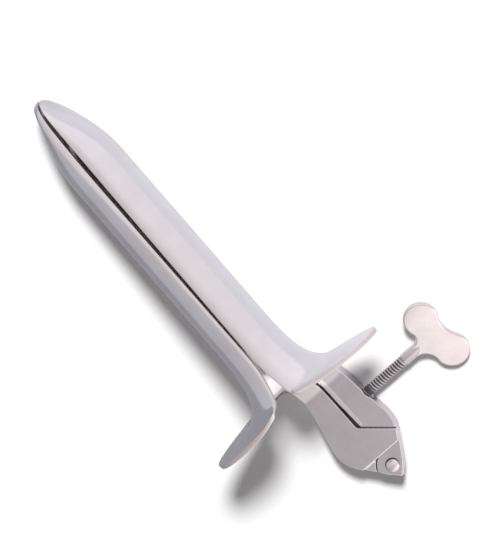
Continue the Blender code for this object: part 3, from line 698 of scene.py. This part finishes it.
def smooth_copy(node, voxel):
    """Fine mesh of a solid's merged copy: remeshed on a grid, then smoothed."""
    mesh = frame["nodes"][node].data.copy()
    builder = bmesh.new()
    builder.from_mesh(mesh)
    bmesh.ops.remove_doubles(builder, verts=builder.verts, dist=0.001 * MM)
    builder.to_mesh(mesh)
    builder.free()
    rough = bpy.data.objects.new("rough_" + node, mesh)
    bpy.context.scene.collection.objects.link(rough)
    skin = rough.modifiers.new("skin", "REMESH")
    skin.mode, skin.voxel_size = "VOXEL", voxel
    polish = rough.modifiers.new("polish", "SMOOTH")
    polish.factor, polish.iterations = 0.5, 5
    bpy.context.view_layer.update()
    fine = bpy.data.meshes.new_from_object(
        rough.evaluated_get(bpy.context.evaluated_depsgraph_get()))
    bpy.data.objects.remove(rough)
    bpy.data.meshes.remove(mesh)
    return fine


def vectors(items, key):
    """One vector of each vertex, as the rows of an array."""
    values = np.empty(len(items) * 3)
    items.foreach_get(key, values)
    return values.reshape(-1, 3)


# Materials

def begun(name):
    """A new material, with its node tree and its shader."""
    material = bpy.data.materials.new(name)
    material.use_nodes = True
    return material, material.node_tree, material.node_tree.nodes["Principled BSDF"]


def noise(tree, place, scale, detail, roughness=0.6):
    """Noise of that many patches to the metre."""
    return add(tree, "TexNoise", {"Vector": place, "Scale": scale, "Detail": detail,
                                  "Roughness": roughness})


def stretched(tree, place, across, along):
    """Coordinates in grains to the metre, across and along the instrument."""
    return add(tree, "Mapping", {"Vector": place, "Scale": (across, along, across)})


def scratched(tree, shader, tint, scratch, roughness, depth):
    """Make the shader bare metal of that tint; roughness and bump follow the scratches."""
    gloss = add(tree, "MapRange", {"Value": scratch, "From Min": 0.3, "From Max": 0.7,
                                   "To Min": roughness[0], "To Max": roughness[1]})
    bump = add(tree, "Bump", {"Strength": depth, "Distance": 0.02 * MM, "Height": scratch})
    feed(tree, shader, {"Metallic": 1.0, "Base Color": tint, "Roughness": gloss, "Normal": bump})


def polished_steel(colours):
    """Polished stainless steel sheet: a mirror with a faint haze and fine polishing lines.

    The haze has patches of 7 mm; the lines are 0.4 mm apart and 17 mm long.
    """
    material, tree, shader = begun("polished_stainless_steel")
    place = add(tree, "TexCoord").outputs["Object"]
    haze = noise(tree, place, 140.0, 5.0, 0.55)
    scratch = noise(tree, stretched(tree, place, 2600.0, 60.0), 1.0, 3.0)
    tint = colour_ramp(tree, haze, ((0.3, 0.94 * colours.polished), (0.65, colours.polished)))
    roughness = colours.polished_roughness
    scratched(tree, shader, tint, scratch, (roughness * 0.85, roughness * 1.25), 0.05)
    return material


def satin_steel(name, base, roughness, grain_mm, painted_highlight=None):
    """Satin steel: brushed along the lever, so the grain is fine across and long along it.

    Clouds of 6 mm mix into the tint. A painted highlight's colour, if given, shows by the piece's
    own share.
    """
    material, tree, shader = begun(name)
    place = add(tree, "TexCoord").outputs["Object"]
    fine = 1 / (grain_mm * MM)
    grain = noise(tree, stretched(tree, place, fine, fine / 12), 1.0, 4.0)
    half = add(tree, "Math", {0: grain, 1: 0.5}, operation="MULTIPLY")
    both = add(tree, "Math", {0: noise(tree, place, 180.0, 4.0), 1: 0.5, 2: half},
               operation="MULTIPLY_ADD")
    tint = colour_ramp(tree, both, ((0.32, 0.86 * base), (0.66, base)))
    if painted_highlight is not None:
        # Painted highlight: mixed into the tint by the piece's own share.
        painted_highlight_mask = add(tree, "Attribute", attribute_name="painted_highlight").outputs["Fac"]
        tint = blend(tree, painted_highlight_mask, tint, (*painted_highlight, 1))
    scratched(tree, shader, tint, grain, (roughness * 0.9, roughness * 1.15), 0.12)
    return material


def thread_steel(colours):
    """Cut thread: bright worn crests, and painted shade in the groove and at the lever's hole, by
    the piece's own attribute.
    """
    material, tree, shader = begun("cut_steel_thread")
    # Painted shade: the piece's groove attribute darkens the groove and the band at the lever's
    # hole.
    depth = add(tree, "Attribute", attribute_name="groove").outputs["Fac"]
    gloss = add(tree, "MapRange", {"Value": depth, "To Min": 0.3, "To Max": 0.5})
    tint = colour_ramp(tree, depth, ((0.1, colours.thread), (0.7, colours.thread_groove_shade)))
    feed(tree, shader, {"Metallic": 1.0, "Base Color": tint, "Roughness": gloss})
    return material


def paper_sweep(stage, x_axis):
    """Matt white paper. Metal sees it as a grey card that grows paler along the X axis.

    The grey card stands for the dark side of a studio: without it the blades' lower halves
    mirror plain white. The little glow lifts the paper to white for the camera alone.
    """
    material, tree, shader = begun("white_paper_sweep")
    light = add(tree, "LightPath").outputs
    mirrored = add(tree, "Math", {0: light["Is Glossy Ray"], 1: light["Is Transmission Ray"]},
                   operation="MAXIMUM")
    place = add(tree, "TexCoord").outputs["Object"]
    across = add(tree, "VectorMath", {0: place, 1: x_axis}, operation="DOT_PRODUCT")
    pale = add(tree, "MapRange", {"Value": across, "From Min": stage.card_start,
                                  "From Max": stage.card_end})
    card = blend(tree, pale, (*stage.card_dark, 1), (*stage.card_pale, 1))
    glow = add(tree, "Math", {0: light["Is Camera Ray"], 1: 0.04}, operation="MULTIPLY")
    feed(tree, shader, {"Base Color": blend(tree, mirrored, (*stage.floor, 1), card),
                        "Roughness": 0.9, "Specular IOR Level": 0.0,
                        "Emission Color": (1, 1, 1, 1), "Emission Strength": glow})
    return material


# Stage

def studio_world(stage, rotation):
    """Surroundings: two colour ramps along the instrument's X and Y, multiplied.

    Diffuse rays take less of them than mirror rays do, so that they light the floor gently.
    The camera sees plain white.
    """
    world = bpy.data.worlds.new("soft_studio")
    world.use_nodes = True
    tree = world.node_tree
    way = add(tree, "TexCoord").outputs["Generated"]
    tones = []
    for direction, stops in ((rotation.col[0], SIDE_LIGHT), (rotation.col[1], LENGTH_LIGHT)):
        part = add(tree, "VectorMath", {0: way, 1: direction}, operation="DOT_PRODUCT")
        place = add(tree, "MapRange", {"Value": part, "From Min": -1.0, "From Max": 1.0})
        tones.append(colour_ramp(tree, place, [((position + 1) / 2, linear(code))
                                               for position, code in stops]))
    light = add(tree, "LightPath").outputs
    camera_ray = light["Is Camera Ray"]
    seen = blend(tree, camera_ray, blend(tree, 1.0, *tones, "MULTIPLY"), (1, 1, 1, 1))
    fill = add(tree, "MapRange", {"Value": light["Is Diffuse Ray"], "To Min": stage.sky_strength,
                                  "To Max": stage.fill_strength})
    level = add(tree, "Math", {0: camera_ray, 1: 1 - stage.sky_strength, 2: fill},
                operation="MULTIPLY_ADD")
    feed(tree, tree.nodes["Background"], {"Color": seen, "Strength": level})
    return world


def studio_camera(stage, rotation, origin):
    """Camera round the instrument, placed so that the target lies at its spot in the picture."""
    width, height = 500, 550
    lon, lat, roll = stage.longitude, stage.latitude, stage.roll
    toward = Vector((math.sin(lon) * math.cos(lat), math.sin(lat),
                     math.cos(lon) * math.cos(lat)))
    right = Vector((0, 1, 0)).cross(toward).normalized()
    up = toward.cross(right).normalized()
    across = math.cos(roll) * right - math.sin(roll) * up
    upward = math.sin(roll) * right + math.cos(roll) * up
    middle = (Vector((0, stage.target_y, stage.target_z))
              + (width / 2 - stage.target_spot[0]) / stage.scale * across
              + (stage.target_spot[1] - height / 2) / stage.scale * upward)
    data = bpy.data.cameras.new("camera")
    data.sensor_width = 36.0
    data.sensor_fit = "HORIZONTAL"
    data.lens = data.sensor_width * stage.scale * stage.distance / width
    data.clip_start = 0.05
    data.clip_end = 10.0
    camera = bpy.data.objects.new("camera", data)
    place = rotation @ (middle + stage.distance * toward) + origin
    axes = rotation @ Matrix((across, upward, toward)).transposed()
    camera.matrix_world = Matrix.Translation(place) @ axes.to_4x4()
    return camera


def key_window(stage, rotation):
    """Key light as a distant window: a sun lamp, even over the floor and unseen by the metal."""
    lamp = bpy.data.lights.new("key_window", "SUN")
    lamp.angle = stage.lamp_width
    lamp.energy = stage.lamp_strength
    key = bpy.data.objects.new("key_window", lamp)
    key.visible_glossy = False
    flat = math.cos(stage.lamp_height) * Vector(stage.lamp_plan)
    way = rotation @ Vector((*flat, math.sin(stage.lamp_height)))
    turn = way.to_track_quat("Z", "Y").to_matrix().to_4x4()
    key.matrix_world = Matrix.Translation(way) @ turn
    return key


# Operators

class StepPiece:
    """Options that all build steps share."""
    bl_options = {"REGISTER", "UNDO"}


class SPECULUM_OT_blades(StepPiece, bpy.types.Operator):
    """Build both blades from one set of sizes; the left one is the right one mirrored"""
    bl_idname = "speculum.blades"
    bl_label = "Blades"

    def execute(self, context):
        blade, colours = groups(context, "blade", "steel")
        steel = polished_steel(colours)
        # Sheared and ground edge of the sheet: a warm, pale, matt line round the mirror.
        ground = satin_steel("ground_sheet_edge", colours.edge, 0.42, 0.12)
        for side, lip, twist, flip in (
                ("right", blade.right_lip, blade.right_twist, 1),
                ("left", blade.left_lip, blade.left_twist, -1)):
            points, faces, sheet_faces = blade_mesh(blade, lip, flip * blade.split_lean)
            points = leaned_wing(blade, points, twist)
            piece("blade_shell_" + side, points * [flip, 1, 1], faces[:, ::flip], blade,
                  side + "_blade", side + "_side", steel,
                  edge=(sheet_faces, ground))
        return {"FINISHED"}


class SPECULUM_OT_levers(StepPiece, bpy.types.Operator):
    """Build both levers as smooth copies of their solids with rounded edges"""
    bl_idname = "speculum.levers"
    bl_label = "Levers"

    def execute(self, context):
        blade, lever, colours = groups(context, "blade", "lever", "steel")
        axes, origin = map(np.array, instrument_axes(blade))
        # Brushed forging: soft grey reflections along the grain, and a painted highlight where the
        # faces lean sideways and beside the slit.
        steel = satin_steel("satin_stainless_steel", colours.satin, colours.satin_roughness,
                            0.12, colours.painted_highlight)
        for side in ("right", "left"):
            slit = side == "right"
            fine = smooth_copy(side + "_lever", lever.voxel)
            fine.name = side + "_forging"
            points = (vectors(fine.vertices, "co") - origin) @ axes
            points = fine_lever(points, blade, lever, slit)
            fine.vertices.foreach_set("co", (points @ axes.T + origin).ravel())
            fine.update()
            normals = vectors(fine.vertex_normals, "vector") @ axes
            # Painted highlight: its share is kept on the piece for the material to mix in.
            painted_highlight = painted_highlight_share(points, normals, lever, slit)
            fine.attributes.new("painted_highlight", "FLOAT", "POINT").data.foreach_set("value", painted_highlight)
            fine.materials.clear()
            fine.materials.append(steel)
            fine.shade_smooth()
            placed(fine.name, fine, side + "_lever", side + "_side")
        return {"FINISHED"}


class SPECULUM_OT_rivet(StepPiece, bpy.types.Operator):
    """Build the domed rivet of the lap joint"""
    bl_idname = "speculum.rivet"
    bl_label = "Rivet"

    def execute(self, context):
        sizes, blade, colours = groups(context, "screw", "blade", "steel")
        foot = -blade.screw_depth - 2.2 * MM
        rim = -blade.screw_depth + 0.8 * MM
        wall = 0.25 * MM
        angle = np.linspace(0, math.pi / 2, 17)
        dome = np.stack([sizes.rivet_radius * np.sin(angle),
                         rim + wall + sizes.rivet_height * np.cos(angle)], axis=1)
        shaft = [[sizes.rivet_radius, rim], [sizes.shaft_radius, rim],
                 [sizes.shaft_radius, foot], [0, foot]]
        points, faces = turned(np.concatenate([dome, shaft]))
        # Painted shade: a dark disc just round the head, standing where the seat's gap is in
        # shadow.
        shade_radius, top, bottom = sizes.shade_ring_radius, rim + 0.05 * MM, rim - 0.1 * MM
        ring, ring_faces = turned([(0, top), (shade_radius, top), (shade_radius, bottom), (0, bottom)])
        ring += [0, sizes.shade_ring_shift, 0]
        # Hammered and buffed head: a soft, pale highlight on the dome.
        steel = satin_steel("satin_steel_rivet", colours.cast, 0.3, 0.15)
        # Painted shade in the seat round the head: a thin dark ring, shifted towards the beak,
        # that shows as a crescent.
        painted_shade = satin_steel("rivet_seat_painted_shade", colours.seat_shade, 0.4, 0.15)
        piece("rivet_dome", np.concatenate([points, ring]),
              np.concatenate([faces, ring_faces + len(points)]), blade, "hinge_rivet",
              "left_side", steel, edge=(len(faces), painted_shade))
        return {"FINISHED"}


class SPECULUM_OT_thumbscrew(StepPiece, bpy.types.Operator):
    """Build the threaded rod, its wing plate and the thrust tip"""
    bl_idname = "speculum.thumbscrew"
    bl_label = "Thumbscrew"

    def execute(self, context):
        sizes, blade, colours = groups(context, "screw", "blade", "steel")
        _, origin = instrument_axes(blade)
        low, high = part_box("screw_rod")
        start, end = low.x - origin.x, high.x - origin.x
        # The last result is the painted shade of each point: groove and hole band.
        points, faces, groove = thread_mesh(sizes, start, end)
        piece("screw_thread", on_screw(points, sizes, blade), faces, blade, "screw_rod",
              "thumbscrew", thread_steel(colours), groove=groove)

        points, faces = plate_mesh(sizes)
        plate = np.stack([-points[:, 2], -points[:, 0], points[:, 1] + sizes.stem_length], axis=1)
        broad = 1.02 * sizes.stem_half_width
        stem, stem_faces = turned([
            (0, 0.62 * sizes.stem_length), (0.35 * sizes.stem_half_width, 0.6 * sizes.stem_length),
            (broad, 0.3 * sizes.stem_length), (broad, 0), (0, 0)])
        shoulder = end + 0.3 * MM
        both = on_screw(np.concatenate([plate, stem]) + [0, 0, shoulder], sizes, blade,
                        sizes.wing_turn)
        # Plate ground flat on a wheel: the palest steel, nearly white under the window.
        steel = satin_steel("ground_steel_plate", colours.cast, 0.24, 0.15)
        # Drawn and turned shank: a narrow grey highlight along it.
        shank = satin_steel("drawn_steel_shank", colours.satin, 0.3, 0.12)
        head = piece("wing_plate", both, faces + (stem_faces + len(plate)).tolist(), blade,
                     "wing_head", "thumbscrew", steel, edge=(len(faces), shank))
        head.data.set_sharp_from_angle(angle=math.radians(50))

        low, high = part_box("screw_tip")
        nose, back = low.x - origin.x, high.x - origin.x
        radius, chamfer = sizes.tip_radius, 0.15 * MM
        angle = np.linspace(0, math.pi / 2, 13)
        ball = np.stack([radius * np.cos(angle), nose + radius * (1 - np.sin(angle))], axis=1)
        points, faces = turned(np.concatenate([
            [[0, back], [radius - chamfer, back], [radius, back - chamfer]], ball]))
        # Hardened and lapped ball end: a small, tight highlight.
        piece("thrust_ball", on_screw(points, sizes, blade), faces, blade, "screw_tip",
              "thrust_tip", satin_steel("hardened_steel_tip", colours.satin, 0.25, 0.12))
        return {"FINISHED"}


class SPECULUM_OT_stage(StepPiece, bpy.types.Operator):
    """Build the white floor, the soft lights and the camera"""
    bl_idname = "speculum.stage"
    bl_label = "Stage"

    def execute(self, context):
        scene = context.scene
        stage, blade = groups(context, "stage", "blade")
        rotation, origin = instrument_axes(blade)
        half = stage.floor_half
        mesh = bpy.data.meshes.new("floor")
        mesh.from_pydata([(-half, -half, 0), (half, -half, 0), (half, half, 0),
                          (-half, half, 0)], [], [(0, 1, 2, 3)])
        mesh.materials.append(paper_sweep(stage, rotation.col[0]))
        floor = bpy.data.objects.new("floor", mesh)
        camera = studio_camera(stage, rotation, origin)
        for made in (floor, camera, key_window(stage, rotation)):
            scene.collection.objects.link(made)
        scene.camera = camera
        scene.world = studio_world(stage, rotation)
        scene.view_settings.view_transform = "Standard"
        return {"FINISHED"}


class SPECULUM_PT_panel(bpy.types.Panel):
    """Sizes, colours and build steps of the speculum"""
    bl_idname = "SPECULUM_PT_panel"
    bl_label = "Speculum"
    bl_space_type = "VIEW_3D"
    bl_region_type = "UI"
    bl_category = "Speculum"

    def draw(self, context):
        for step in STEPS:
            self.layout.operator(step.bl_idname)
        for name in GROUPS:
            group = getattr(context.scene, name)
            box = self.layout.box()
            for key in group.__annotations__:
                box.prop(group, key)


STEPS = (SPECULUM_OT_blades, SPECULUM_OT_levers, SPECULUM_OT_rivet, SPECULUM_OT_thumbscrew,
         SPECULUM_OT_stage)
GROUPS = {"speculum_blade": BladeSizes, "speculum_screw": ScrewSizes,
          "speculum_lever": LeverSizes, "speculum_steel": SteelColours,
          "speculum_stage": StageSettings}


def register():
    """Register the groups, the steps and the panel, and hang the groups on the scene."""
    for group in GROUPS.values():
        bpy.utils.register_class(group)
    for step in STEPS + (SPECULUM_PT_panel,):
        bpy.utils.register_class(step)
    for name, group in GROUPS.items():
        setattr(bpy.types.Scene, name, PointerProperty(type=group))


def unregister():
    """Undo register."""
    for name in GROUPS:
        delattr(bpy.types.Scene, name)
    for step in (SPECULUM_PT_panel,) + STEPS[::-1]:
        bpy.utils.unregister_class(step)
    for group in GROUPS.values():
        bpy.utils.unregister_class(group)


def main():
    """Run every build step."""
    register()
    for step in STEPS:
        family, name = step.bl_idname.split(".")
        if getattr(getattr(bpy.ops, family), name)() != {"FINISHED"}:
            raise RuntimeError(step.bl_label + " did not finish")


if __name__ == "__main__":
    main()
